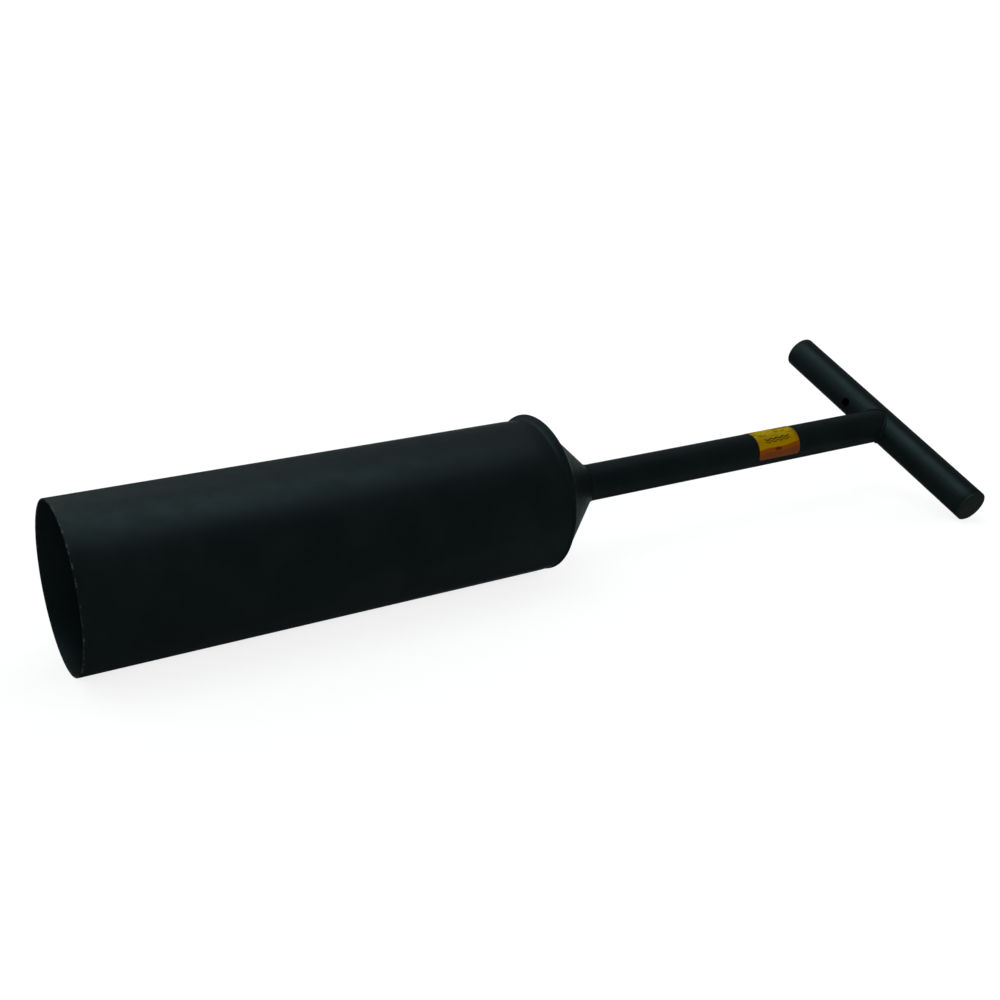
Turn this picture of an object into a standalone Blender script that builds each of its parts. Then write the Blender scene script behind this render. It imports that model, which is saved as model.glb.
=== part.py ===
"""Clam tube: a steel beach digging tool, welded up from tubes and a cone.

An open barrel narrows through a cone to a hollow stem, and the stem ends on a hollow crossbar that
is the T handle. A vent hole in the crossbar lets air in and out of the barrel through the stem.
The tool lies on its barrel, its length along X with the mouth at -X, and is rolled about that
length until the -Y end of the crossbar comes down to the ground.

Metres, +Z up, origin on the ground under the middle of the tool.
"""

import math

import bmesh
import bpy

# Barrel and cone.
BARREL_RADIUS = 0.0635
BARREL_WALL = 0.0016
MOUTH_TO_SHOULDER = 0.3905
CONE_HEIGHT = 0.0495
CONE_WALL = 0.0016
CONE_LAND = 0.0021
CONE_ROUND = 0.0015

# Handle tubes.
MOUTH_TO_CROSSBAR = 0.7970
TUBE_RADIUS = 0.015875
TUBE_WALL = 0.0020
STEM_INTO_CONE = 0.0060
CROSSBAR_LENGTH = 0.2600
AIR_HOLE_RADIUS = 0.0080
VENT_RADIUS = 0.0045
VENT_FROM_STEM = 0.0380
VENT_TURN = math.radians(8.0)

# Plugs in the ends of the crossbar.
PLUG_RIM = 0.0018
PLUG_ROUND = 0.0012
PLUG_DOME = 0.0010
PLUG_SHANK = 0.0160
PLUG_WALL = 0.0018
PLUG_RIB = 0.0008
PLUG_RIBS = 4

# Weld beads.
BARREL_BEAD_WIDTH = 0.0066
BARREL_BEAD_TOP = 0.0034
BARREL_BEAD_BOTTOM = 0.0006
BEAD_EDGE = 0.0002
NECK_BEAD_ON_CONE = 0.0025
NECK_BEAD_ON_STEM = 0.0045
NECK_BEAD_THROAT = 0.0012
SADDLE_BEAD_NOTCH = 0.0026
SADDLE_BEAD_SIDE = 0.0010

# Sticker on the stem.
LABEL_MIDDLE = 0.6498
LABEL_LENGTH = 0.0490
LABEL_THICKNESS = 0.0003
LABEL_FLATS = 13

# Clearance between touching pieces, and the number of flats on round ones.
GAP = 0.0003
BARREL_SIDES = 36
TUBE_SIDES = 24
BEAD_POINTS = 6
SADDLE_STEPS = 48
SADDLE_SIDES = 10

# Places that follow from the dimensions above.
TUBE_BORE = TUBE_RADIUS - TUBE_WALL
BARREL_BORE = BARREL_RADIUS - BARREL_WALL
HOLE_RADIUS = TUBE_RADIUS + GAP
AXIS_HEIGHT = (BARREL_RADIUS + BARREL_BEAD_BOTTOM) * math.cos(math.pi / BARREL_SIDES)
TUBE_FLAT = TUBE_RADIUS * math.cos(math.pi / TUBE_SIDES)
TOOL_LENGTH = MOUTH_TO_CROSSBAR + TUBE_FLAT
HANDLE_HALF = CROSSBAR_LENGTH / 2
CROSSBAR_END = HANDLE_HALF - PLUG_RIM - PLUG_ROUND - PLUG_DOME
RIM_END = HANDLE_HALF - PLUG_DOME
HANDLE_ROLL = (math.asin(AXIS_HEIGHT / math.hypot(RIM_END, TUBE_FLAT))
               - math.atan(TUBE_FLAT / RIM_END))
SEAM = MOUTH_TO_SHOULDER - CONE_LAND - CONE_ROUND
NECK = MOUTH_TO_SHOULDER + CONE_HEIGHT
CONE_SLOPE = (BARREL_RADIUS - CONE_ROUND - HOLE_RADIUS) / CONE_HEIGHT
CONE_STRETCH = math.hypot(1, CONE_SLOPE)


def clear_scene():
    """Start from an empty scene."""
    for existing in list(bpy.data.objects):
        bpy.data.objects.remove(existing, do_unlink=True)


def coating(name, color, roughness, metallic=0.0):
    """A Principled material in one colour."""
    material = bpy.data.materials.new(name)
    material.use_nodes = True
    shader = material.node_tree.nodes["Principled BSDF"]
    shader.inputs["Base Color"].default_value = (*color, 1.0)
    shader.inputs["Roughness"].default_value = roughness
    shader.inputs["Metallic"].default_value = metallic
    return material


def axis_empty(name, parent=None, location=(0, 0, 0), rotation=(0, 0, 0)):
    """An axis that pieces are parented to."""
    axis = bpy.data.objects.new(name, None)
    bpy.context.collection.objects.link(axis)
    axis.parent = parent
    axis.location = location
    axis.rotation_euler = rotation
    return axis


def place(name, bm, material, parent, location=(0, 0, 0), rotation=(0, 0, 0)):
    """Turn a bmesh into a smooth-shaded object under its parent axis."""
    bmesh.ops.remove_doubles(bm, verts=bm.verts, dist=1e-6)
    bmesh.ops.recalc_face_normals(bm, faces=bm.faces)
    mesh = bpy.data.meshes.new(name)
    bm.to_mesh(mesh)
    bm.free()
    mesh.shade_smooth()
    mesh.set_sharp_from_angle(angle=math.radians(30))
    mesh.materials.append(material)
    piece = bpy.data.objects.new(name, mesh)
    bpy.context.collection.objects.link(piece)
    piece.parent = parent
    piece.location = location
    piece.rotation_euler = rotation
    return piece


def cut(piece, cutter):
    """Take a cutter's shape out of a piece, and hide the cutter."""
    cutter.hide_render = True
    cutter.display_type = "WIRE"
    boolean = piece.modifiers.new("cut " + cutter.name, "BOOLEAN")
    boolean.operation = "DIFFERENCE"
    boolean.solver = "EXACT"
    boolean.object = cutter


def turned(outline, sides, solid=False, start=None, flats=None):
    """Spin an outline of (x, radius) points about X; a closed ring unless it is solid.

    A whole turn starts half a flat from straight down, so that one flat faces down. A part turn
    starts at the given angle from straight down and covers the given number of flats.
    """
    step = math.tau / sides
    begin = step / 2 if start is None else start
    steps = sides if flats is None else flats
    bm = bmesh.new()
    chain = [bm.verts.new((x, radius * math.sin(begin), -radius * math.cos(begin)))
             for x, radius in outline]
    edges = [bm.edges.new(pair) for pair in zip(chain, chain[1:])]
    if not solid:
        edges.append(bm.edges.new((chain[-1], chain[0])))
    bmesh.ops.spin(bm, geom=chain + edges, cent=(0, 0, 0), axis=(1, 0, 0), angle=step * steps,
                   steps=steps, use_merge=steps == sides, use_duplicate=False)
    return bm


def tube_outline(start, end, outer, inner):
    """The wall of a plain tube, cut square at both ends."""
    return [(start, inner), (start, outer), (end, outer), (end, inner)]


def rod_outline(start, end, radius):
    """A solid round bar."""
    return [(start, 0), (start, radius), (end, radius), (end, 0)]


def cone_outline():
    """The cone's wall: a short land, a rounded shoulder, then straight down to the stem's hole."""
    wall_across = CONE_WALL * CONE_STRETCH
    wall_along = wall_across / CONE_SLOPE
    shoulder = BARREL_RADIUS - CONE_ROUND
    inner_start = MOUTH_TO_SHOULDER - (BARREL_BORE + wall_across - shoulder) / CONE_SLOPE
    return [(SEAM, BARREL_BORE), (SEAM, BARREL_RADIUS),
            (SEAM + CONE_LAND, BARREL_RADIUS), (MOUTH_TO_SHOULDER, shoulder),
            (NECK, HOLE_RADIUS), (NECK - wall_along, HOLE_RADIUS),
            (inner_start, BARREL_BORE)]


def barrel_bead():
    """The bead over the seam of barrel and cone, thickest at the top of the tool."""
    foot = BARREL_RADIUS + GAP
    crown = BARREL_BEAD_TOP - GAP
    start = SEAM + CONE_LAND - BARREL_BEAD_WIDTH
    arc = [index / (BEAD_POINTS - 1) for index in range(BEAD_POINTS)]
    outline = [(start + BARREL_BEAD_WIDTH * along,
                foot + BEAD_EDGE + (crown - BEAD_EDGE) * math.sin(math.pi * along))
               for along in arc]
    outline += [(start + BARREL_BEAD_WIDTH, foot), (start, foot)]
    bm = turned(outline, BARREL_SIDES)
    low_share = (BARREL_BEAD_BOTTOM - GAP) / crown
    for vert in bm.verts:
        radius = math.hypot(vert.co.y, vert.co.z)
        upward = (1 + vert.co.z / radius) / 2
        height = (radius - foot) * (low_share + (1 - low_share) * upward)
        vert.co.y *= (foot + height) / radius
        vert.co.z *= (foot + height) / radius
    return bm


def neck_bead_outline():
    """The fillet between cone and stem: a foot on each, and a hollow curve between them."""
    corner = NECK + GAP * CONE_STRETCH / CONE_SLOPE
    up_cone = NECK_BEAD_ON_CONE / CONE_STRETCH
    on_cone = (corner - up_cone, HOLE_RADIUS + up_cone * CONE_SLOPE)
    top = (on_cone[0] + BEAD_EDGE, on_cone[1] + BEAD_EDGE)
    tip = (corner + NECK_BEAD_ON_STEM, HOLE_RADIUS + BEAD_EDGE)
    throat = (corner + NECK_BEAD_THROAT, HOLE_RADIUS + NECK_BEAD_THROAT)
    outline = [(corner, HOLE_RADIUS), on_cone]
    for index in range(BEAD_POINTS):
        along = index / (BEAD_POINTS - 1)
        outline.append(tuple((1 - along) ** 2 * first + 2 * along * (1 - along) * middle
                             + along ** 2 * last
                             for first, middle, last in zip(top, throat, tip)))
    outline.append((corner + NECK_BEAD_ON_STEM, HOLE_RADIUS))
    return outline


def saddle_bead():
    """The bead along the saddle of two equal tubes: a ring bent to follow the saddle's curve."""
    outline = [(SADDLE_BEAD_NOTCH * math.cos(math.tau * side / SADDLE_SIDES),
                TUBE_RADIUS + SADDLE_BEAD_NOTCH * math.sin(math.tau * side / SADDLE_SIDES))
               for side in range(SADDLE_SIDES)]
    bm = turned(outline, SADDLE_STEPS, start=0, flats=SADDLE_STEPS)
    for vert in bm.verts:
        radius = math.hypot(vert.co.y, vert.co.z)
        notch = abs(vert.co.y) / radius
        size = SADDLE_BEAD_SIDE + (SADDLE_BEAD_NOTCH - SADDLE_BEAD_SIDE) * notch ** 2
        share = size / SADDLE_BEAD_NOTCH
        bent = TUBE_RADIUS + (radius - TUBE_RADIUS) * share
        vert.co.x = vert.co.x * share - TUBE_RADIUS * notch
        vert.co.y *= bent / radius
        vert.co.z *= bent / radius
    return bm


def plug_outline():
    """A ribbed push-in plug, its axis outwards along +X from the tube's end face."""
    rib_top = TUBE_BORE - GAP
    shank = rib_top - PLUG_RIB
    face = PLUG_RIM + PLUG_ROUND
    bend = math.sqrt(0.5)
    outline = [(face + PLUG_DOME, 0), (face + PLUG_DOME * 0.6, TUBE_RADIUS * 0.6),
               (face, TUBE_RADIUS - PLUG_ROUND),
               (PLUG_RIM + PLUG_ROUND * bend, TUBE_RADIUS - PLUG_ROUND * (1 - bend)),
               (PLUG_RIM, TUBE_RADIUS), (GAP, TUBE_RADIUS), (GAP, shank)]
    pitch = PLUG_SHANK / (PLUG_RIBS + 0.5)
    for rib in range(PLUG_RIBS):
        crest = -pitch * (rib + 0.5)
        outline += [(crest + pitch * 0.15, shank), (crest, rib_top),
                    (crest - pitch * 0.3, rib_top), (crest - pitch * 0.6, shank)]
    outline += [(-PLUG_SHANK, shank), (-PLUG_SHANK, shank - PLUG_WALL),
                (-PLUG_RIM, shank - PLUG_WALL), (0, shank - PLUG_WALL - PLUG_RIM), (0, 0)]
    return outline


def build_barrel(tool, paint, weld):
    """Barrel, cone and the two beads that hold the cone."""
    place("barrel_tube", turned(tube_outline(0, SEAM - GAP, BARREL_RADIUS, BARREL_BORE),
                                BARREL_SIDES), paint, tool)
    place("reducer_cone", turned(cone_outline(), BARREL_SIDES), paint, tool)
    place("barrel_weld", barrel_bead(), weld, tool)
    place("neck_weld", turned(neck_bead_outline(), BARREL_SIDES), weld, tool)


def build_handle(handle, paint, weld, plastic, vinyl):
    """Stem, crossbar, their bead, the plugs and the sticker, about the middle of the crossbar."""
    across = (0, 0, math.pi / 2)
    stem_start = NECK - STEM_INTO_CONE - MOUTH_TO_CROSSBAR
    stem = place("stem_tube", turned(tube_outline(stem_start, 0, TUBE_RADIUS, TUBE_BORE),
                                     TUBE_SIDES), paint, handle)
    crossbar = place("crossbar_tube", turned(tube_outline(-CROSSBAR_END, CROSSBAR_END,
                                                          TUBE_RADIUS, TUBE_BORE), TUBE_SIDES),
                     paint, handle, rotation=across)
    bead = place("saddle_weld", saddle_bead(), weld, handle)

    cope = place("cope_cutter", turned(rod_outline(-HANDLE_HALF, HANDLE_HALF, HOLE_RADIUS),
                                       TUBE_SIDES, solid=True), paint, handle, rotation=across)
    core = place("stem_cutter", turned(rod_outline(stem_start, TUBE_RADIUS * 2, HOLE_RADIUS),
                                       TUBE_SIDES, solid=True), paint, handle)
    air = place("air_cutter", turned(rod_outline(-TUBE_RADIUS * 2, 0, AIR_HOLE_RADIUS),
                                     TUBE_SIDES, solid=True), paint, handle)
    vent = place("vent_cutter", turned(rod_outline(-TUBE_RADIUS * 2, 0, VENT_RADIUS),
                                       TUBE_SIDES, solid=True), paint, handle,
                 location=(0, VENT_FROM_STEM, 0), rotation=(0, VENT_TURN, 0))
    cut(stem, cope)
    cut(bead, cope)
    cut(bead, core)
    cut(crossbar, air)
    cut(crossbar, vent)

    for side, name in ((-1, "end_plug_near"), (1, "end_plug_far")):
        place(name, turned(plug_outline(), TUBE_SIDES, solid=True), plastic, handle,
              location=(0, side * CROSSBAR_END, 0), rotation=(0, 0, side * math.pi / 2))

    label_start = LABEL_MIDDLE - LABEL_LENGTH / 2 - MOUTH_TO_CROSSBAR
    half_wrap = LABEL_FLATS * math.pi / TUBE_SIDES
    label = turned(tube_outline(label_start, label_start + LABEL_LENGTH,
                                HOLE_RADIUS + LABEL_THICKNESS, HOLE_RADIUS),
                   TUBE_SIDES, start=math.pi - half_wrap, flats=LABEL_FLATS)
    bmesh.ops.holes_fill(label, edges=label.edges[:], sides=4)
    place("grip_label", label, vinyl, handle)


def build():
    """The whole tool, lying on its barrel."""
    clear_scene()
    paint = coating("black_powder_coat", (0.012, 0.017, 0.018), 0.42, 0.2)
    weld = coating("coated_weld", (0.014, 0.019, 0.020), 0.48, 0.2)
    plastic = coating("black_plug_plastic", (0.016, 0.020, 0.018), 0.5)
    vinyl = coating("yellow_vinyl", (0.55, 0.36, 0.02), 0.4)
    tool = axis_empty("tool_axis", location=(-TOOL_LENGTH / 2, 0, AXIS_HEIGHT))
    handle = axis_empty("handle_axis", tool, location=(MOUTH_TO_CROSSBAR, 0, 0),
                        rotation=(HANDLE_ROLL, 0, 0))
    build_barrel(tool, paint, weld)
    build_handle(handle, paint, weld, plastic, vinyl)


build()
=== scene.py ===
"""A clam tube: black coated steel barrel, cone, hollow stem and T handle, lying on a pale floor."""

import math

import bmesh
import bpy
from mathutils import Matrix, Vector


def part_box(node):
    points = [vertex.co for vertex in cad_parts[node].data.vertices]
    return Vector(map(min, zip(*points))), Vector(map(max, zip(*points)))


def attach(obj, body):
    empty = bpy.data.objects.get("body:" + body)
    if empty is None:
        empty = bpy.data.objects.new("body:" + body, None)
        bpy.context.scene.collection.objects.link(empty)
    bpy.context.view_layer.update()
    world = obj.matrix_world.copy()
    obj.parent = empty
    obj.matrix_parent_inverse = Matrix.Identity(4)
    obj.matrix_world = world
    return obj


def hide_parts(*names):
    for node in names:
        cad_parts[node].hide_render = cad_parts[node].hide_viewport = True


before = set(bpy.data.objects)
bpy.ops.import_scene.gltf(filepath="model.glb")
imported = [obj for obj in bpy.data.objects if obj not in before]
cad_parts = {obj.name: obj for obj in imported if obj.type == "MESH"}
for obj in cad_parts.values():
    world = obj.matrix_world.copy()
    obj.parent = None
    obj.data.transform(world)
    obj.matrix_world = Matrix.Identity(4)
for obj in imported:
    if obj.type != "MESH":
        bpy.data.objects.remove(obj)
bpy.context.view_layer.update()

MM = 0.001

# Where the frame's nodes lie. Their round parts have flats, so radii are taken at the corners.
BARREL_FLATS = 36
TUBE_FLATS = 24
barrel_low, barrel_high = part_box("barrel_tube")
cone_low, cone_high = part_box("reducer_cone")
stem_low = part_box("stem_tube")[0]
crossbar_low, crossbar_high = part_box("crossbar_tube")
near_low, near_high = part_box("end_plug_near")
far_low, far_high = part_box("end_plug_far")
label_low, label_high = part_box("grip_label")

AXIS_HEIGHT = (barrel_low.z + barrel_high.z) / 2
BARREL_RADIUS = (barrel_high.y - barrel_low.y) / 2 / math.cos(math.pi / BARREL_FLATS)
MOUTH = barrel_low.x
SEAM = (barrel_high.x + cone_low.x) / 2
NECK = cone_high.x
STEM_START = stem_low.x
CROSSBAR_X = (crossbar_low.x + crossbar_high.x) / 2
TUBE_RADIUS = (crossbar_high.x - crossbar_low.x) / 2 / math.cos(math.pi / TUBE_FLATS)
across = (far_low + far_high) / 2 - (near_low + near_high) / 2
HANDLE_ROLL = math.atan2(across.z, across.y)
CROSSBAR_HALF = ((crossbar_high.y - crossbar_low.y) / 2
                 - TUBE_RADIUS * math.sin(HANDLE_ROLL)) / math.cos(HANDLE_ROLL)

TOOL_AXIS = Matrix.Translation((0, 0, AXIS_HEIGHT))
HANDLE_AXIS = (Matrix.Translation((CROSSBAR_X, 0, AXIS_HEIGHT))
               @ Matrix.Rotation(HANDLE_ROLL, 4, "X"))
ALONG_CROSSBAR = Matrix.Rotation(math.pi / 2, 4, "Z")

# Tubes and cone.
BARREL_WALL = 1.6 * MM
BARREL_BORE = BARREL_RADIUS - BARREL_WALL
TUBE_WALL = 2.0 * MM
TUBE_BORE = TUBE_RADIUS - TUBE_WALL
CONE_WALL = 1.6 * MM
CONE_LAND = 2.1 * MM
CONE_ROUND = 1.5 * MM
CUT_EDGE = 0.4 * MM
SHRINK_DEPTH = 1.1 * MM
SHRINK_REACH = 16 * MM
AIR_HOLE = 8.0 * MM
VENT_HOLE = 4.5 * MM
VENT_FROM_STEM = 38.0 * MM
VENT_TURN = math.radians(8)
HAIR = 0.1 * MM

# Plugs in the crossbar's ends.
PLUG_RIM = 1.8 * MM
PLUG_ROUND = 1.2 * MM
PLUG_DOME = 1.0 * MM
PLUG_SHANK = 16.0 * MM
PLUG_WALL = 1.8 * MM
PLUG_RIB = 0.8 * MM
PLUG_RIBS = 4

# Beads. The lip's rise and fall pair a share of the way along with a share of the height.
LIP_WIDTH = 9.0 * MM
LIP_TOP = 3.5 * MM
LIP_BOTTOM = 0.3 * MM
LIP_HEAVY_SIDE = math.radians(88)
LIP_TOE = 11.0 * MM
LIP_CROWN_FROM_SEAM = 2.5 * MM
LIP_BEFORE_CROWN = 0.88
LIP_RISE = [(0.0, 0.03), (0.18, 0.07), (0.34, 0.14), (0.48, 0.24), (0.60, 0.38), (0.70, 0.55),
            (0.79, 0.73), (0.87, 0.88), (0.94, 0.97), (1.0, 1.0)]
LIP_FALL = [(0.02, 0.99), (0.06, 0.955), (0.12, 0.89), (0.22, 0.78), (0.38, 0.61), (0.58, 0.40),
            (0.80, 0.17), (1.0, -0.04)]
NECK_BEAD_ON_CONE = 2.2 * MM
NECK_BEAD_ON_STEM = 4.2 * MM
NECK_BEAD_THROAT = 0.7 * MM
SADDLE_BEAD_NOTCH = 2.4 * MM
SADDLE_BEAD_SIDE = 0.8 * MM

# Ripples along the beads.
RIPPLE_BOW = 3.0 * MM
LIP_RIPPLES = 140
LIP_RIPPLE_DEPTH = 0.05 * MM
NECK_RIPPLES = 44
NECK_RIPPLE_DEPTH = 0.07 * MM
SADDLE_RIPPLES = 56
SADDLE_RIPPLE_SHARE = 0.04

# Sticker.
LABEL_HALF_WRAP = math.radians(88.5)
LABEL_CORNER = 3.0 * MM
LABEL_THICKNESS = 0.25 * MM
LABEL_LIFT = 0.05 * MM

# How finely shapes are cut.
BARREL_STEPS = 192
BARREL_RINGS = 28
TUBE_STEPS = 96
STEM_RINGS = 24
CROSSBAR_RINGS = 32
BEAD_STEPS = 960
NECK_STEPS = 432
NECK_CURVE_STEPS = 12
SADDLE_STEPS = 480
SADDLE_SIDES = 16
HOLE_STEPS = 48
LABEL_STRIPS = 64
LABEL_BANDS = 16
SWEEP_STEPS = 96
CUTTER_REACH = 0.1
SHARP_ANGLE = math.radians(38)

# Powder coat.
COAT_DARK = (0.0024, 0.0030, 0.0036)
COAT_LIGHT = (0.0036, 0.0043, 0.0050)
COAT_TINT = (0.62, 1.0, 0.99, 1.0)
COAT_ROUGHNESS = 0.45
COAT_PEEL = 0.35
# Painted light: the barrel's bore is coloured lighter than the coat, standing in for light that
# reaches inside.
BORE_PAINTED_LIGHT = (0.0044, 0.0055, 0.0068)
DUST = (0.020, 0.022, 0.021)
BARE_STEEL = (0.045, 0.048, 0.047)
WEAR_REACH = 1.3 * MM

# Plug plastic.
PLUG_DARK = (0.0048, 0.0072, 0.0066)
PLUG_LIGHT = (0.0066, 0.0096, 0.0088)
PLUG_SCUFFED = (0.016, 0.019, 0.017)
PLUG_TINT = (0.78, 1.0, 0.92, 1.0)

# Sticker print, its yellow lighter towards the top as a painted highlight. Each line of waves has
# its height on the sticker and its strength.
YELLOW_LOW = (0.250, 0.145, 0.0008)
YELLOW_PAINTED_HIGHLIGHT = (0.500, 0.370, 0.0150)
OCHRE_SMUDGE_AND_SHADE = (0.170, 0.066, 0.0020)
ORANGE = (0.155, 0.041, 0.0016)
RED = (0.098, 0.027, 0.0085)
DARK_RED = (0.060, 0.006, 0.0030)
INK = (0.018, 0.014, 0.0010)
WAVE_LINES = ((0.372, 0.92), (0.322, 0.70))

# Floor: a round sweep given as (distance from the middle, height).
FLOOR_GLOW = 0.80
PAPER_DARK = (0.39, 0.39, 0.39)
PAPER_LIGHT = (0.41, 0.41, 0.41)
SWEEP = [(0, 0), (3.4, 0), (3.9, 0.05), (4.3, 0.22), (4.6, 0.55), (4.75, 1.0), (4.8, 1.6),
         (4.8, 4.0)]

# Room: each glow has its direction, its spread in degrees and its strength.
ROOM_LIGHT = 0.028
ROOM_TINT = (0.86, 1.0, 1.0, 1)
ROOM_GLOWS = [
    ((0.55, 0.80, 0.30), 60, 0.09),
    ((0.58, 0.76, -0.30), 24, 0.64),
    ((-0.30, 0.60, 0.74), 50, 0.42),
    ((0.72, -0.27, -0.64), 30, 0.06),
]

# Overhead light.
OVERHEAD_PLACE = Vector((0.09, 0.03, 1.55))
OVERHEAD_TARGET = Vector((0.09, 0.03, 0.0))
OVERHEAD_LENGTH = 1.2
OVERHEAD_WIDTH = 1.15
OVERHEAD_GLOW = 0.68
OVERHEAD_TINT = (0.88, 0.98, 1.04)

# Camera.
LOOK_AT = Vector((-0.0497, 0.0, 0.0642))
AZIMUTH = math.radians(31.04)
ELEVATION = math.radians(19.35)
DISTANCE = 1.068
LENS = 46.56


# ---------------------------------------------------------------- shaping

def turned(outline, steps, solid=False):
    """Spin an outline of (x, radius) points once about X; a closed ring unless it is solid."""
    bm = bmesh.new()
    chain = [bm.verts.new((x, 0, radius)) for x, radius in outline]
    edges = [bm.edges.new(pair) for pair in zip(chain, chain[1:])]
    if not solid:
        edges.append(bm.edges.new((chain[-1], chain[0])))
    bmesh.ops.spin(bm, geom=chain + edges, cent=(0, 0, 0), axis=(1, 0, 0), angle=math.tau,
                   steps=steps, use_merge=True, use_duplicate=False)
    bmesh.ops.remove_doubles(bm, verts=bm.verts, dist=1e-6)
    bmesh.ops.recalc_face_normals(bm, faces=bm.faces)
    return bm


def ring_edges(bm, x, radius):
    """The edges round X at one place and one radius."""
    def on_ring(vert):
        off = math.hypot(vert.co.y, vert.co.z) - radius
        return abs(vert.co.x - x) < 1e-5 and abs(off) < 1e-5
    return [edge for edge in bm.edges if all(on_ring(vert) for vert in edge.verts)]


def round_over(bm, edges, width, segments):
    """Round off a ring of edges."""
    bmesh.ops.bevel(bm, geom=edges, offset=width, offset_type="OFFSET", segments=segments,
                    profile=0.5, affect="EDGES", clamp_overlap=True, material=-1)


def smoothed(share):
    """An even ease from 0 to 1."""
    share = min(max(share, 0.0), 1.0)
    return share * share * (3 - 2 * share)


def mesh_object(name, bm, matrix):
    """Put a bmesh in its place and give it to a new object at the origin."""
    bmesh.ops.transform(bm, matrix=matrix, verts=bm.verts)
    mesh = bpy.data.meshes.new(name)
    bm.to_mesh(mesh)
    bm.free()
    mesh.shade_smooth()
    mesh.set_sharp_from_angle(angle=SHARP_ANGLE)
    piece = bpy.data.objects.new(name, mesh)
    bpy.context.scene.collection.objects.link(piece)
    return piece


def finish_piece(piece, material, node_name):
    """Give a piece its finish and its place in the frame."""
    piece.data.materials.clear()
    piece.data.materials.append(material)
    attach(piece, "root")
    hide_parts(node_name)


def take_out(piece, cutters):
    """Cut the cutters' shapes out of a piece for good, and remove the cutters."""
    for cutter in cutters:
        cut = piece.modifiers.new(cutter.name, "BOOLEAN")
        cut.operation = "DIFFERENCE"
        cut.solver = "EXACT"
        cut.object = cutter
    bpy.context.view_layer.update()
    depsgraph = bpy.context.evaluated_depsgraph_get()
    result = bpy.data.meshes.new_from_object(piece.evaluated_get(depsgraph))
    piece.modifiers.clear()
    piece.data = result
    for cutter in cutters:
        bpy.data.objects.remove(cutter, do_unlink=True)
    tidy = bmesh.new()
    tidy.from_mesh(result)
    bmesh.ops.remove_doubles(tidy, verts=tidy.verts, dist=2e-6)
    bmesh.ops.dissolve_degenerate(tidy, edges=tidy.edges, dist=2e-6)
    tidy.to_mesh(result)
    tidy.free()
    result.shade_smooth()
    result.set_sharp_from_angle(angle=SHARP_ANGLE)


def rod(name, start, end, radius, steps, matrix):
    """A solid round bar that cuts a hole."""
    outline = [(start, 0), (start, radius), (end, radius), (end, 0)]
    return mesh_object(name, turned(outline, steps, solid=True), matrix)


# ---------------------------------------------------------------- barrel and cone

def barrel_shape():
    """Open tube, deburred at the mouth and drawn in a little by the heat of the cone's weld."""
    end = SEAM - HAIR
    places = [MOUTH + (end - MOUTH) * (1 - (1 - index / BARREL_RINGS) ** 2)
              for index in range(BARREL_RINGS + 1)]
    outline = [(x, BARREL_RADIUS) for x in places] + [(x, BARREL_BORE) for x in reversed(places)]
    bm = turned(outline, BARREL_STEPS)
    round_over(bm, ring_edges(bm, MOUTH, BARREL_RADIUS), CUT_EDGE, 3)
    round_over(bm, ring_edges(bm, MOUTH, BARREL_BORE), CUT_EDGE * 0.7, 3)
    for vert in bm.verts:
        near_weld = smoothed((vert.co.x - (end - SHRINK_REACH)) / SHRINK_REACH)
        radius = math.hypot(vert.co.y, vert.co.z)
        share = 1 - SHRINK_DEPTH * near_weld * (0.25 + 0.75 * lip_share(vert)) / radius
        vert.co.y *= share
        vert.co.z *= share
    return bm


def cone_profile():
    """The cone's outer corner: where its land ends, where it starts down, and how steeply."""
    shoulder = SEAM + CONE_LAND
    start = shoulder + CONE_ROUND
    slope = (BARREL_RADIUS - CONE_ROUND - TUBE_RADIUS - HAIR) / (NECK - start)
    return shoulder, start, slope


def cone_shape():
    """Pressed cone: a short land, a rounded shoulder, then straight down to the stem's hole."""
    shoulder, start, slope = cone_profile()
    hole = TUBE_RADIUS + HAIR
    inset = BARREL_RADIUS - CONE_ROUND
    wall_across = CONE_WALL * math.hypot(1, slope)
    inner_start = start - (BARREL_BORE + wall_across - inset) / slope
    bm = turned([(SEAM + HAIR, BARREL_BORE), (SEAM + HAIR, BARREL_RADIUS),
                 (shoulder, BARREL_RADIUS), (start, inset), (NECK, hole),
                 (NECK - wall_across / slope, hole), (inner_start, BARREL_BORE)], BARREL_STEPS)
    round_over(bm, ring_edges(bm, shoulder, BARREL_RADIUS), CONE_ROUND * 0.6, 4)
    round_over(bm, ring_edges(bm, start, inset), CONE_ROUND * 0.6, 4)
    return bm


# ---------------------------------------------------------------- welds

def rippled(bm, count, depth, lean, middle, foot):
    """Lay the welder's ripples over a bead: low ridges round X, bowed like a stack of coins."""
    for vert in bm.verts:
        radius = math.hypot(vert.co.y, vert.co.z)
        if radius <= foot:
            continue
        turn = math.atan2(vert.co.z, vert.co.y)
        bow = ((vert.co.x - middle) / lean) ** 2
        sway = 0.35 * math.sin(turn * 7 + 1) + 0.25 * math.sin(turn * 17)
        ridge = math.cos(count * turn + bow + sway)
        lift = depth * ridge * min((radius - foot) / MM, 1.0)
        vert.co.y *= (radius + lift) / radius
        vert.co.z *= (radius + lift) / radius


def lip_share(vert):
    """How heavy the lip is at one place round the tool: 1 on its upper side, 0 underneath."""
    turn = math.atan2(vert.co.z, -vert.co.y)
    return smoothed((math.cos(turn - LIP_HEAVY_SIDE) + 0.25) / 1.2)


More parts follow.
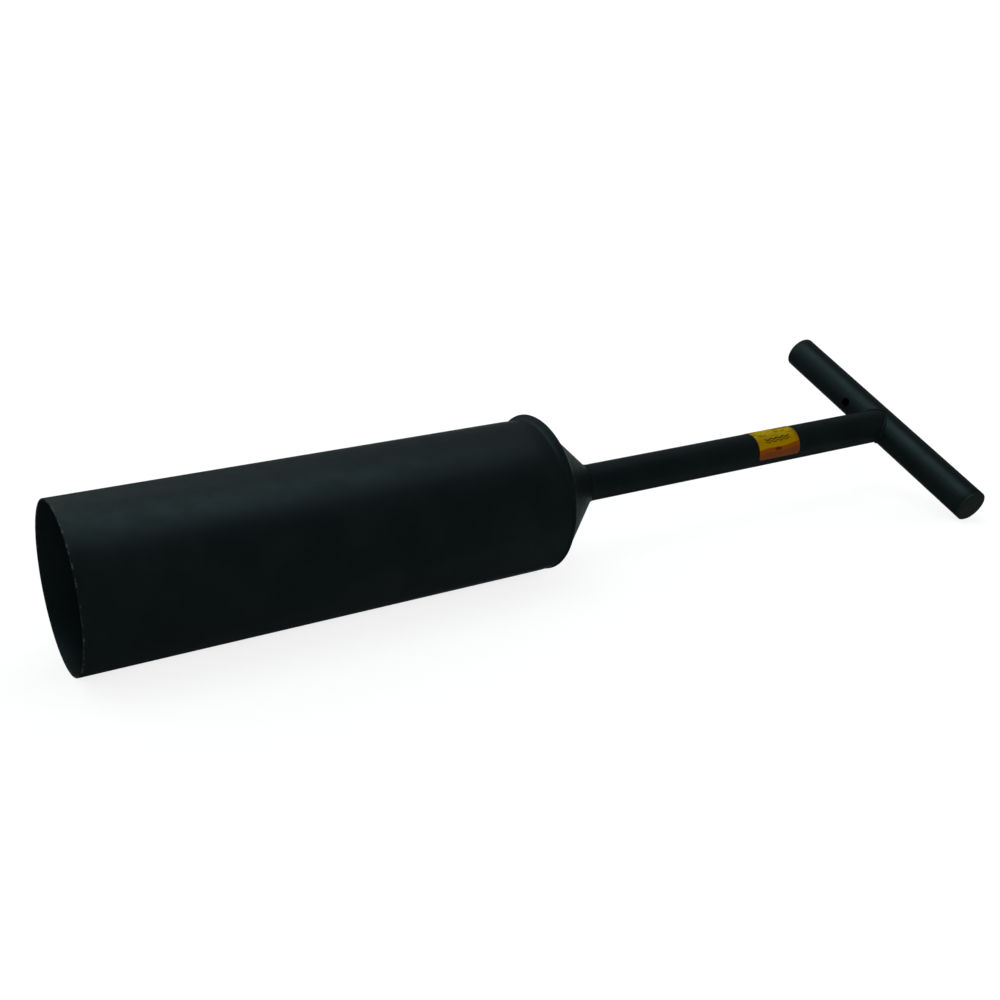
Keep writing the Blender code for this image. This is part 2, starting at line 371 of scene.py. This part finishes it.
def barrel_weld_shape():
    """The lip of weld over the seam: it flares up from the barrel and washes out on the cone."""
    slope = cone_profile()[2]
    foot = BARREL_RADIUS - SHRINK_DEPTH - 0.4 * MM
    crown_at = SEAM + LIP_CROWN_FROM_SEAM
    rise_from = crown_at - LIP_BEFORE_CROWN * LIP_WIDTH
    fall_to = SEAM + CONE_LAND + CONE_ROUND + 0.3 * MM
    count = len(LIP_RISE) + len(LIP_FALL) + 2
    bm = turned([(rise_from + index * MM, foot + (index == 1) * MM) for index in range(count)],
                BEAD_STEPS)
    for vert in bm.verts:
        share = lip_share(vert)
        crown = BARREL_RADIUS + LIP_BOTTOM + (LIP_TOP - LIP_BOTTOM) * share
        toe_at = fall_to + LIP_TOE * share
        toe = BARREL_RADIUS - CONE_ROUND - slope * (toe_at - fall_to)
        row = round((vert.co.x - rise_from) / MM)
        if row < len(LIP_RISE):
            along, up = LIP_RISE[row]
            x = rise_from + (crown_at - rise_from) * along
            radius = foot + (crown - foot) * up
        elif row < count - 2:
            along, up = LIP_FALL[row - len(LIP_RISE)]
            x = crown_at + (toe_at - crown_at) * along
            radius = toe + (crown - toe) * up
        else:
            x = (toe_at - 0.4 * MM, rise_from)[row - count + 2]
            radius = (toe - 0.8 * MM, foot - 0.3 * MM)[row - count + 2]
        turn = math.atan2(vert.co.z, vert.co.y)
        vert.co = (x, radius * math.cos(turn), radius * math.sin(turn))
    rippled(bm, LIP_RIPPLES, LIP_RIPPLE_DEPTH, RIPPLE_BOW, crown_at - 0.18 * LIP_WIDTH,
            foot + 0.4 * MM)
    bmesh.ops.recalc_face_normals(bm, faces=bm.faces)
    return bm


def neck_weld_shape():
    """The fillet of weld round the neck: a foot on the cone, a foot on the stem, hollow between."""
    slope = cone_profile()[2]
    up_cone = NECK_BEAD_ON_CONE / math.hypot(1, slope)
    cone_foot = (NECK - up_cone, TUBE_RADIUS + up_cone * slope + 0.2 * MM)
    throat = (NECK + NECK_BEAD_THROAT, TUBE_RADIUS + NECK_BEAD_THROAT)
    stem_foot = (NECK + NECK_BEAD_ON_STEM, TUBE_RADIUS + 0.12 * MM)
    outline = []
    for index in range(NECK_CURVE_STEPS + 1):
        along = index / NECK_CURVE_STEPS
        outline.append(tuple((1 - along) ** 2 * a + 2 * along * (1 - along) * b + along ** 2 * c
                             for a, b, c in zip(cone_foot, throat, stem_foot)))
    outline += [(NECK + NECK_BEAD_ON_STEM + 0.3 * MM, TUBE_RADIUS - HAIR),
                (NECK, TUBE_RADIUS - HAIR),
                (NECK - up_cone - 0.2 * MM, TUBE_RADIUS + up_cone * slope - HAIR)]
    bm = turned(outline, NECK_STEPS)
    rippled(bm, NECK_RIPPLES, NECK_RIPPLE_DEPTH, RIPPLE_BOW, NECK + 1 * MM, TUBE_RADIUS)
    return bm


def saddle_weld_shape():
    """The bead along the saddle of two equal tubes: a ring bent to follow the saddle's curve."""
    outline = [(SADDLE_BEAD_NOTCH * math.cos(math.tau * side / SADDLE_SIDES),
                TUBE_RADIUS + SADDLE_BEAD_NOTCH * math.sin(math.tau * side / SADDLE_SIDES))
               for side in range(SADDLE_SIDES)]
    bm = turned(outline, SADDLE_STEPS)
    for vert in bm.verts:
        radius = math.hypot(vert.co.y, vert.co.z)
        turn = math.atan2(vert.co.z, vert.co.y)
        notch = abs(vert.co.y) / radius
        size = SADDLE_BEAD_SIDE + (SADDLE_BEAD_NOTCH - SADDLE_BEAD_SIDE) * notch ** 2
        ripple = 1 + SADDLE_RIPPLE_SHARE * notch * math.cos(SADDLE_RIPPLES * turn)
        share = size / SADDLE_BEAD_NOTCH * ripple
        bent = TUBE_RADIUS + (radius - TUBE_RADIUS) * share
        vert.co.x = vert.co.x * share - TUBE_RADIUS * notch
        vert.co.y *= bent / radius
        vert.co.z *= bent / radius
    return bm


# ---------------------------------------------------------------- handle

def stem_shape():
    """Long tube, its far end coped to sit on the crossbar."""
    end = CROSSBAR_X - STEM_START
    places = [-end + (end - 2 * TUBE_RADIUS) * index / STEM_RINGS
              for index in range(STEM_RINGS + 1)]
    places += [-TUBE_RADIUS * 1.5, 0]
    outline = [(x, TUBE_RADIUS) for x in places] + [(x, TUBE_BORE) for x in reversed(places)]
    bm = turned(outline, TUBE_STEPS)
    reach = TUBE_RADIUS + HAIR
    for vert in bm.verts:
        if vert.co.x > -HAIR:
            vert.co.x = -math.sqrt(max(reach ** 2 - vert.co.z ** 2, 0))
    return bm


def crossbar_shape():
    """The handle's cross tube, before its holes are drilled."""
    places = [CROSSBAR_HALF * (2 * index / CROSSBAR_RINGS - 1)
              for index in range(CROSSBAR_RINGS + 1)]
    outline = [(x, TUBE_RADIUS) for x in places] + [(x, TUBE_BORE) for x in reversed(places)]
    bm = turned(outline, TUBE_STEPS)
    for side in (-1, 1):
        round_over(bm, ring_edges(bm, side * CROSSBAR_HALF, TUBE_RADIUS), CUT_EDGE * 0.6, 2)
    return bm


def plug_shape():
    """A ribbed push-in plug, its axis outwards along +X from the tube's end face."""
    shank = TUBE_BORE - HAIR - PLUG_RIB
    face = PLUG_RIM + PLUG_ROUND
    outline = [(face + PLUG_DOME * (1 - share * share), TUBE_RADIUS * share)
               for share in (0, 0.15, 0.3, 0.45, 0.6, 0.72, 0.82, 0.9)]
    corner = (face - 0.2 * MM, TUBE_RADIUS)
    outline += [corner, (HAIR, TUBE_RADIUS), (HAIR, shank)]
    pitch = PLUG_SHANK / (PLUG_RIBS + 0.5)
    for rib in range(PLUG_RIBS):
        crest = -pitch * (rib + 0.5)
        outline += [(crest + pitch * 0.15, shank), (crest, shank + PLUG_RIB),
                    (crest - pitch * 0.3, shank + PLUG_RIB), (crest - pitch * 0.6, shank)]
    outline += [(-PLUG_SHANK, shank), (-PLUG_SHANK, shank - PLUG_WALL),
                (-PLUG_RIM, shank - PLUG_WALL), (0, shank - PLUG_WALL - PLUG_RIM), (0, 0)]
    bm = turned(outline, TUBE_STEPS, solid=True)
    round_over(bm, ring_edges(bm, *corner), PLUG_ROUND, 5)
    return bm


def label_shape():
    """A sticker with round corners, cut flat, creased into strips and wrapped over the stem."""
    half_length = (label_high.x - label_low.x) / 2
    radius = TUBE_RADIUS + LABEL_LIFT
    half_height = LABEL_HALF_WRAP * radius
    bm = bmesh.new()
    bmesh.ops.create_grid(bm, x_segments=1, y_segments=1, size=1)
    bmesh.ops.scale(bm, vec=(half_length, half_height, 1), verts=bm.verts)
    bmesh.ops.bevel(bm, geom=bm.verts[:], offset=LABEL_CORNER, offset_type="OFFSET", segments=8,
                    profile=0.5, affect="VERTICES", material=-1)
    for index in range(1, LABEL_STRIPS):
        height = half_height * (2 * index / LABEL_STRIPS - 1)
        bmesh.ops.bisect_plane(bm, geom=bm.verts[:] + bm.edges[:] + bm.faces[:],
                               dist=1e-7, plane_co=(0, height, 0), plane_no=(0, 1, 0))
    for index in range(1, LABEL_BANDS):
        length = half_length * (2 * index / LABEL_BANDS - 1)
        bmesh.ops.bisect_plane(bm, geom=bm.verts[:] + bm.edges[:] + bm.faces[:],
                               dist=1e-7, plane_co=(length, 0, 0), plane_no=(1, 0, 0))
    print_map = bm.loops.layers.uv.new("print")
    for face in bm.faces:
        for loop in face.loops:
            at = loop.vert.co
            loop[print_map].uv = (at.x / half_length / 2 + 0.5, at.y / half_height / 2 + 0.5)
    for vert in bm.verts:
        turn = vert.co.y / radius
        vert.co = (vert.co.x, math.sin(turn) * radius, math.cos(turn) * radius)
    bmesh.ops.recalc_face_normals(bm, faces=bm.faces)
    if bm.faces[0].normal.dot(bm.faces[0].calc_center_median() * Vector((0, 1, 1))) < 0:
        bmesh.ops.reverse_faces(bm, faces=bm.faces)
    bmesh.ops.solidify(bm, geom=bm.faces[:], thickness=-LABEL_THICKNESS)
    middle = (label_low.x + label_high.x) / 2 - CROSSBAR_X
    bmesh.ops.translate(bm, vec=(middle, 0, 0), verts=bm.verts)
    return bm


# ---------------------------------------------------------------- finishes

class Finish:
    """A Principled material and short ways to add nodes to it."""

    def __init__(self, name):
        self.material = bpy.data.materials.new(name)
        self.material.use_nodes = True
        self.tree = self.material.node_tree
        self.shader = self.tree.nodes["Principled BSDF"]
        self.place = self.tree.nodes.new("ShaderNodeTexCoord").outputs["Object"]

    def set(self, **values):
        """Set the shader's own sockets; underscores stand for spaces."""
        for name, value in values.items():
            self.shader.inputs[name.replace("_", " ")].default_value = value

    def join(self, source, target):
        """Link a value to a socket, or set it there if it is a plain number or colour."""
        if isinstance(source, bpy.types.NodeSocket):
            self.tree.links.new(source, target)
        else:
            target.default_value = source

    def noise(self, scale, detail=3.0, roughness=0.5, vector=None):
        """Soft random patches; scale is how many to a metre."""
        node = self.tree.nodes.new("ShaderNodeTexNoise")
        node.inputs["Scale"].default_value = scale
        node.inputs["Detail"].default_value = detail
        node.inputs["Roughness"].default_value = roughness
        self.join(self.place if vector is None else vector, node.inputs["Vector"])
        return node.outputs["Fac"]

    def cells(self, scale):
        """Distance to scattered points; scale is how many to a metre."""
        node = self.tree.nodes.new("ShaderNodeTexVoronoi")
        node.inputs["Scale"].default_value = scale
        self.join(self.place, node.inputs["Vector"])
        return node.outputs["Distance"]

    def stretched(self, scale, vector=None):
        """The place, stretched along each axis, for scratches that run one way."""
        node = self.tree.nodes.new("ShaderNodeMapping")
        node.inputs["Scale"].default_value = scale
        self.join(self.place if vector is None else vector, node.inputs["Vector"])
        return node.outputs["Vector"]

    def ramp(self, value, low, high, start=0.0, end=1.0):
        """A value eased from start to end between low and high."""
        node = self.tree.nodes.new("ShaderNodeMapRange")
        node.interpolation_type = "SMOOTHSTEP"
        self.join(value, node.inputs["Value"])
        for name, number in zip(("From Min", "From Max", "To Min", "To Max"),
                                (low, high, start, end)):
            node.inputs[name].default_value = number
        return node.outputs["Result"]

    def calculate(self, operation, first, second=0.0):
        """One step of arithmetic; the second value is left out where the step takes only one."""
        node = self.tree.nodes.new("ShaderNodeMath")
        node.operation = operation
        self.join(first, node.inputs[0])
        self.join(second, node.inputs[1])
        return node.outputs["Value"]

    def plus(self, first, second):
        """First and second added up."""
        return self.calculate("ADD", first, second)

    def minus(self, first, second):
        """First less second."""
        return self.calculate("SUBTRACT", first, second)

    def times(self, first, second):
        """First multiplied by second."""
        return self.calculate("MULTIPLY", first, second)

    def squared(self, value):
        """A value multiplied by itself."""
        return self.calculate("POWER", value, 2)

    def waves(self, value, pace, height):
        """A wavy value: its pace in radians for each 1 of the value, and its height."""
        return self.times(self.calculate("SINE", self.times(value, pace)), height)

    def blend(self, share, first, second):
        """Mix two colours."""
        node = self.tree.nodes.new("ShaderNodeMix")
        node.data_type = "RGBA"
        self.join(share, node.inputs["Factor"])
        self.join(first if isinstance(first, bpy.types.NodeSocket) else (*first, 1),
                  node.inputs["A"])
        self.join(second if isinstance(second, bpy.types.NodeSocket) else (*second, 1),
                  node.inputs["B"])
        return node.outputs["Result"]

    def axis(self, name, vector=None):
        """One coordinate of the place."""
        node = self.tree.nodes.new("ShaderNodeSeparateXYZ")
        self.join(self.place if vector is None else vector, node.inputs["Vector"])
        return node.outputs[name]

    def facing_up(self):
        """How far the surface faces up, from -1 to 1."""
        node = self.tree.nodes.new("ShaderNodeNewGeometry")
        return self.axis("Z", node.outputs["Normal"])

    def bump(self, height, strength, depth, under=None):
        """Relief from a height value; depth is its full height in metres."""
        node = self.tree.nodes.new("ShaderNodeBump")
        node.inputs["Strength"].default_value = strength
        node.inputs["Distance"].default_value = depth
        self.join(height, node.inputs["Height"])
        if under is not None:
            self.join(under, node.inputs["Normal"])
        return node.outputs["Normal"]


def coated(name, worn_edge=None, painted_light_bore=None):
    """Satin black powder coat: orange peel, scuffs, dust, a worn cut edge, and painted light in a
    bore.
    """
    finish = Finish(name)
    patches = finish.noise(22, 4, 0.6)
    mottled = finish.blend(finish.ramp(patches, 0.35, 0.7), COAT_DARK, COAT_LIGHT)
    specks = finish.ramp(finish.cells(420), 0.05, 0.12, 1.0, 0.0)
    settled = finish.ramp(finish.facing_up(), 0.2, 1.0)
    dusty = finish.times(settled, finish.ramp(finish.noise(140, 6, 0.7), 0.45, 0.8))
    dusty = finish.calculate("MAXIMUM", finish.times(dusty, 0.10), finish.times(specks, 0.06))
    color = finish.blend(dusty, mottled, DUST)
    # Painted light: the bore surface gets a lighter colour in place of the light falling inside the
    # barrel.
    if painted_light_bore is not None:
        height = finish.minus(finish.axis("Z"), AXIS_HEIGHT)
        squares = finish.plus(finish.squared(finish.axis("Y")), finish.squared(height))
        from_axis = finish.calculate("SQRT", squares)
        bore_painted_light_mask = finish.ramp(from_axis, painted_light_bore + 0.1 * MM, painted_light_bore + 0.4 * MM, 1.0, 0.0)
        color = finish.blend(bore_painted_light_mask, color, BORE_PAINTED_LIGHT)
    scuffs = finish.noise(1, 4, 0.65, finish.stretched((35, 520, 520)))
    scuffs = finish.ramp(scuffs, 0.60, 0.72)
    satin = finish.ramp(finish.noise(75, 5, 0.6), 0.3, 0.75, COAT_ROUGHNESS - 0.05,
                        COAT_ROUGHNESS + 0.06)
    roughness = finish.plus(satin, finish.times(scuffs, 0.05))
    if worn_edge is not None:
        near_edge = finish.calculate("ABSOLUTE", finish.minus(finish.axis("X"), worn_edge))
        wear = finish.ramp(near_edge, 0.25 * WEAR_REACH, WEAR_REACH, 1.0, 0.0)
        chips = finish.ramp(finish.noise(330, 5, 0.6), 0.50, 0.62)
        wear = finish.times(wear, chips)
        color = finish.blend(wear, color, BARE_STEEL)
    finish.join(color, finish.shader.inputs["Base Color"])
    finish.join(roughness, finish.shader.inputs["Roughness"])
    finish.set(Specular_Tint=COAT_TINT)
    rolled = finish.bump(finish.noise(9, 2), 0.25, 0.8 * MM)
    orange_peel = finish.bump(finish.noise(780, 2, 0.5), COAT_PEEL, 0.05 * MM, rolled)
    grains = finish.bump(finish.noise(2600, 2, 0.6), 0.25, 0.02 * MM, orange_peel)
    finish.join(grains, finish.shader.inputs["Normal"])
    return finish.material


def coated_bead(name):
    """Powder coat lying thick over weld: soft peel over the metal's own lumps."""
    finish = Finish(name)
    patches = finish.noise(160, 4, 0.6)
    color = finish.blend(finish.ramp(patches, 0.35, 0.7), COAT_DARK, COAT_LIGHT)
    finish.join(color, finish.shader.inputs["Base Color"])
    finish.join(finish.ramp(finish.noise(420, 3), 0.3, 0.7, 0.46, 0.58),
                finish.shader.inputs["Roughness"])
    finish.set(Specular_Tint=COAT_TINT)
    lumps = finish.bump(finish.noise(260, 3, 0.55), 0.5, 0.25 * MM)
    orange_peel = finish.bump(finish.noise(900, 2), 0.35, 0.05 * MM, lumps)
    finish.join(orange_peel, finish.shader.inputs["Normal"])
    return finish.material


def plug_plastic(name):
    """Black moulded plastic with a fine spark-eroded grain and handling scuffs."""
    finish = Finish(name)
    patches = finish.noise(120, 4, 0.6)
    color = finish.blend(finish.ramp(patches, 0.35, 0.7), PLUG_DARK, PLUG_LIGHT)
    scuffs = finish.ramp(finish.noise(900, 5, 0.7), 0.60, 0.72)
    color = finish.blend(finish.times(scuffs, 0.25), color, PLUG_SCUFFED)
    finish.join(color, finish.shader.inputs["Base Color"])
    finish.join(finish.ramp(finish.noise(300, 4), 0.3, 0.7, 0.42, 0.54),
                finish.shader.inputs["Roughness"])
    finish.set(Specular_Tint=PLUG_TINT)
    grain = finish.bump(finish.noise(3200, 2, 0.6), 0.4, 0.03 * MM)
    finish.join(grain, finish.shader.inputs["Normal"])
    return finish.material


def label_vinyl(name):
    """Printed vinyl: ochre yellow over a wavy orange and red foot, a small row of waves, painted
    highlight and shade.
    """
    finish = Finish(name)
    uv = finish.tree.nodes.new("ShaderNodeUVMap")
    uv.uv_map = "print"
    flat = uv.outputs["UV"]
    along = finish.axis("X", flat)
    around = finish.axis("Y", flat)
    # Painted highlight: the yellow grows lighter towards the sticker's top, where the overhead
    # light falls.
    yellow = finish.blend(finish.ramp(around, 0.33, 0.62), YELLOW_LOW, YELLOW_PAINTED_HIGHLIGHT)
    stretched = finish.stretched((1, 2.6, 1), flat)
    smudge = finish.ramp(finish.noise(4.5, 4, 0.6, stretched), 0.48, 0.60)
    smudges_and_edge_shade = finish.times(finish.ramp(around, 0.42, 0.50), smudge)
    # Painted shade: the sticker's end towards the crossbar is darkened to ochre along its edge; the
    # smudges above are its own marks.
    smudges_and_edge_shade = finish.calculate("MAXIMUM", smudges_and_edge_shade, finish.ramp(along, 0.90, 0.99))
    yellow = finish.blend(finish.times(smudges_and_edge_shade, 0.72), yellow, OCHRE_SMUDGE_AND_SHADE)

    row = finish.minus(around, finish.times(along, 0.03))
    inside = finish.times(finish.ramp(along, 0.17, 0.20), finish.ramp(along, 0.78, 0.81, 1.0, 0.0))
    ripple = finish.waves(along, 42.0, 0.013)
    for height, strength in WAVE_LINES:
        line = finish.minus(finish.minus(row, ripple), height)
        line = finish.ramp(finish.calculate("ABSOLUTE", line), 0.008, 0.018, strength, 0.0)
        yellow = finish.blend(finish.times(line, inside), yellow, INK)

    shore = finish.plus(finish.times(along, 0.050), finish.waves(along, 8.0, 0.012))
    depth = finish.minus(around, shore)
    color = finish.blend(finish.ramp(depth, 0.185, 0.215, 1.0, 0.0), yellow, ORANGE)
    color = finish.blend(finish.ramp(depth, 0.090, 0.150, 1.0, 0.0), color, RED)
    spot_along = finish.times(finish.minus(along, 0.46), 1.6)
    spot_around = finish.times(finish.minus(depth, 0.165), 4.0)
    spot = finish.plus(finish.squared(spot_along), finish.squared(spot_around))
    color = finish.blend(finish.ramp(spot, 0.006, 0.030, 0.85, 0.0), color, DARK_RED)
    finish.join(color, finish.shader.inputs["Base Color"])
    finish.join(finish.ramp(finish.noise(300, 4), 0.3, 0.7, 0.34, 0.46),
                finish.shader.inputs["Roughness"])
    finish.set(Specular_IOR_Level=0.0)
    finish.join(finish.bump(finish.noise(500, 3), 0.2, 0.04 * MM),
                finish.shader.inputs["Normal"])
    return finish.material


def pale_floor(name):
    """Matt white studio paper that glows enough to carry no hard shadow."""
    finish = Finish(name)
    tone = finish.blend(finish.ramp(finish.noise(3, 3), 0.3, 0.7), PAPER_DARK, PAPER_LIGHT)
    finish.join(tone, finish.shader.inputs["Base Color"])
    finish.set(Roughness=0.95, Specular_IOR_Level=0.0, Emission_Color=(1, 1, 1, 1),
               Emission_Strength=FLOOR_GLOW)
    return finish.material


# ---------------------------------------------------------------- studio

def studio_room(name):
    """What the coat mirrors beyond the floor: a dark room with a few soft glows in it."""
    world = bpy.data.worlds.new(name)
    world.use_nodes = True
    tree = world.node_tree
    direction = tree.nodes.new("ShaderNodeTexCoord").outputs["Generated"]
    total = None
    for toward, spread, strength in ROOM_GLOWS:
        facing = tree.nodes.new("ShaderNodeVectorMath")
        facing.operation = "DOT_PRODUCT"
        facing.inputs[1].default_value = Vector(toward).normalized()
        tree.links.new(direction, facing.inputs[0])
        fall = tree.nodes.new("ShaderNodeMapRange")
        fall.interpolation_type = "SMOOTHSTEP"
        fall.inputs["From Min"].default_value = math.cos(math.radians(spread))
        fall.inputs["From Max"].default_value = 1.0
        fall.inputs["To Max"].default_value = strength
        tree.links.new(facing.outputs["Value"], fall.inputs["Value"])
        if total is None:
            fall.inputs["To Min"].default_value = ROOM_LIGHT
            fall.inputs["To Max"].default_value = ROOM_LIGHT + strength
            total = fall.outputs["Result"]
        else:
            added = tree.nodes.new("ShaderNodeMath")
            tree.links.new(total, added.inputs[0])
            tree.links.new(fall.outputs["Result"], added.inputs[1])
            total = added.outputs["Value"]
    background = tree.nodes["Background"]
    background.inputs["Color"].default_value = ROOM_TINT
    tree.links.new(total, background.inputs["Strength"])
    return world


def make_studio():
    """A round white sweep, a soft light overhead and the dim room behind it."""
    bm = bmesh.new()
    chain = [bm.verts.new((radius, 0, height)) for radius, height in SWEEP]
    edges = [bm.edges.new(pair) for pair in zip(chain, chain[1:])]
    bmesh.ops.spin(bm, geom=chain + edges, cent=(0, 0, 0), axis=(0, 0, 1), angle=math.tau,
                   steps=SWEEP_STEPS, use_merge=True, use_duplicate=False)
    bmesh.ops.remove_doubles(bm, verts=bm.verts, dist=1e-6)
    bmesh.ops.recalc_face_normals(bm, faces=bm.faces)
    floor = mesh_object("studio_floor", bm, Matrix.Identity(4))
    floor.data.materials.append(pale_floor("pale_floor"))
    floor.visible_glossy = False

    bpy.context.scene.world = studio_room("studio_room")

    light = bpy.data.lights.new("overhead", "AREA")
    light.shape = "RECTANGLE"
    light.size = OVERHEAD_LENGTH
    light.size_y = OVERHEAD_WIDTH
    light.energy = OVERHEAD_GLOW * math.pi * OVERHEAD_LENGTH * OVERHEAD_WIDTH
    light.color = OVERHEAD_TINT
    overhead = bpy.data.objects.new("overhead", light)
    bpy.context.scene.collection.objects.link(overhead)
    overhead.location = OVERHEAD_PLACE
    downwards = OVERHEAD_TARGET - OVERHEAD_PLACE
    overhead.rotation_euler = downwards.to_track_quat("-Z", "Y").to_euler()
    overhead.visible_camera = False


def make_camera():
    """The camera, turned to the tool's near side with the mouth at its left."""
    forward = Vector((math.sin(AZIMUTH) * math.cos(ELEVATION),
                      math.cos(AZIMUTH) * math.cos(ELEVATION), -math.sin(ELEVATION)))
    camera_data = bpy.data.cameras.new("camera")
    camera_data.lens = LENS
    camera_data.sensor_width = 36
    camera_data.clip_start = 0.01
    camera = bpy.data.objects.new("camera", camera_data)
    bpy.context.scene.collection.objects.link(camera)
    camera.location = LOOK_AT - forward * DISTANCE
    camera.rotation_euler = forward.to_track_quat("-Z", "Y").to_euler()
    bpy.context.scene.camera = camera


# ---------------------------------------------------------------- the whole tool

def make_tool():
    """Every piece, in its finish, in its place."""
    coat = coated("black_powder_coat")
    mouth_coat = coated("black_powder_coat_worn_mouth", worn_edge=MOUTH, painted_light_bore=BARREL_BORE)
    bead = coated_bead("coated_weld")
    plastic = plug_plastic("black_plug_plastic")
    vinyl = label_vinyl("yellow_vinyl")

    finish_piece(mesh_object("barrel", barrel_shape(), TOOL_AXIS),
                 mouth_coat, "barrel_tube")
    finish_piece(mesh_object("cone", cone_shape(), TOOL_AXIS), coat,
                 "reducer_cone")
    finish_piece(mesh_object("barrel_bead", barrel_weld_shape(), TOOL_AXIS),
                 bead, "barrel_weld")
    finish_piece(mesh_object("neck_bead", neck_weld_shape(), TOOL_AXIS),
                 bead, "neck_weld")
    finish_piece(mesh_object("stem", stem_shape(), HANDLE_AXIS), coat,
                 "stem_tube")

    crossbar = mesh_object("crossbar", crossbar_shape(), HANDLE_AXIS @ ALONG_CROSSBAR)
    vent_place = (HANDLE_AXIS @ Matrix.Translation((0, VENT_FROM_STEM, 0))
                  @ Matrix.Rotation(VENT_TURN, 4, "Y"))
    air = rod("air_hole", -TUBE_RADIUS * 2, 0, AIR_HOLE, HOLE_STEPS, HANDLE_AXIS)
    vent = rod("vent_hole", -TUBE_RADIUS * 2, 0, VENT_HOLE, HOLE_STEPS, vent_place)
    take_out(crossbar, [air, vent])
    finish_piece(crossbar, coat, "crossbar_tube")

    saddle = mesh_object("saddle_bead", saddle_weld_shape(), HANDLE_AXIS)
    inside = TUBE_RADIUS - HAIR
    cope = rod("crossbar_space", -CUTTER_REACH, CUTTER_REACH, inside, TUBE_STEPS,
               HANDLE_AXIS @ ALONG_CROSSBAR)
    core = rod("stem_space", -CUTTER_REACH, CUTTER_REACH, inside, TUBE_STEPS, HANDLE_AXIS)
    take_out(saddle, [cope, core])
    finish_piece(saddle, bead, "saddle_weld")

    for side, name in ((-1, "near"), (1, "far")):
        place = (HANDLE_AXIS @ Matrix.Translation((0, side * CROSSBAR_HALF, 0))
                 @ Matrix.Rotation(side * math.pi / 2, 4, "Z"))
        finish_piece(mesh_object("plug_" + name, plug_shape(), place),
                     plastic, "end_plug_" + name)

    finish_piece(mesh_object("label", label_shape(), HANDLE_AXIS), vinyl,
                 "grip_label")


make_studio()
make_tool()
make_camera()
bpy.context.scene.view_settings.view_transform = "Standard"
